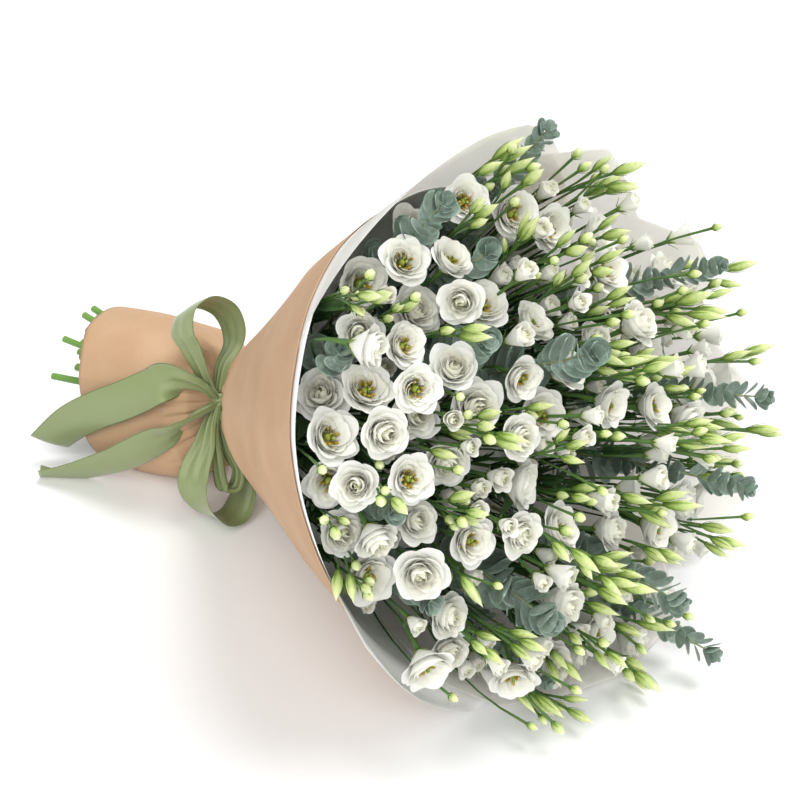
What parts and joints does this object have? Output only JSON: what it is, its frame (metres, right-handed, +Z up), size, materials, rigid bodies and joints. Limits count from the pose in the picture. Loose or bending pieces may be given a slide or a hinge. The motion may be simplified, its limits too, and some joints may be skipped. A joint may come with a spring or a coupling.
{
  "type": "wrapped lisianthus bouquet",
  "caption": "Hand-tied bouquet of white double lisianthus and eucalyptus in a cone of ivory and kraft paper, bound with a satin ribbon bow and lying on its side.",
  "frame": {"origin": "middle of the bounding box's base, on the table that the bouquet lies on", "axes": "+X along the bouquet from the cut stems to the flowers, +Z up, and the side that the bow is on faces -Y"},
  "size_m": [0.7046, 0.468, 0.4436],
  "materials": {
    "lisianthus": "soft white double petals with pale green bases, yellow-green buds and smooth green stems",
    "eucalyptus": "dull grey-green leaves with a waxy bloom",
    "kraft_paper": "uncoated pinkish tan kraft paper, matte",
    "ivory_paper": "thin translucent ivory wrapping paper with a faint sheen",
    "twine": "dull twisted jute twine",
    "satin_ribbon": "sage green satin with a soft sheen along the weave"
  },
  "bodies": {
    "root": {"lisianthus_01": "lisianthus", "lisianthus_02": "lisianthus", "lisianthus_03": "lisianthus", "lisianthus_04": "lisianthus", "lisianthus_05": "lisianthus", "lisianthus_06": "lisianthus", "lisianthus_07": "lisianthus", "lisianthus_08": "lisianthus", "lisianthus_09": "lisianthus", "lisianthus_10": "lisianthus", "lisianthus_11": "lisianthus", "lisianthus_12": "lisianthus", "lisianthus_13": "lisianthus", "lisianthus_14": "lisianthus", "lisianthus_15": "lisianthus", "lisianthus_16": "lisianthus", "lisianthus_17": "lisianthus", "lisianthus_18": "lisianthus", "lisianthus_19": "lisianthus", "lisianthus_20": "lisianthus", "lisianthus_21": "lisianthus", "lisianthus_22": "lisianthus", "lisianthus_23": "lisianthus", "lisianthus_24": "lisianthus", "lisianthus_25": "lisianthus", "lisianthus_26": "lisianthus", "lisianthus_27": "lisianthus", "eucalyptus_01": "eucalyptus", "eucalyptus_02": "eucalyptus", "eucalyptus_03": "eucalyptus", "eucalyptus_04": "eucalyptus", "eucalyptus_05": "eucalyptus", "eucalyptus_06": "eucalyptus", "eucalyptus_07": "eucalyptus", "eucalyptus_08": "eucalyptus", "eucalyptus_09": "eucalyptus", "eucalyptus_10": "eucalyptus", "eucalyptus_11": "eucalyptus", "eucalyptus_12": "eucalyptus", "eucalyptus_13": "eucalyptus", "eucalyptus_14": "eucalyptus", "eucalyptus_15": "eucalyptus", "kraft_wrap": "kraft_paper", "ivory_lining": "ivory_paper", "ivory_sheet_left": "ivory_paper", "ivory_sheet_back": "ivory_paper", "ivory_sheet_right": "ivory_paper", "ivory_sheet_under": "ivory_paper", "binding_twine": "twine", "satin_ribbon": "satin_ribbon"}
  },
  "joints": []
}
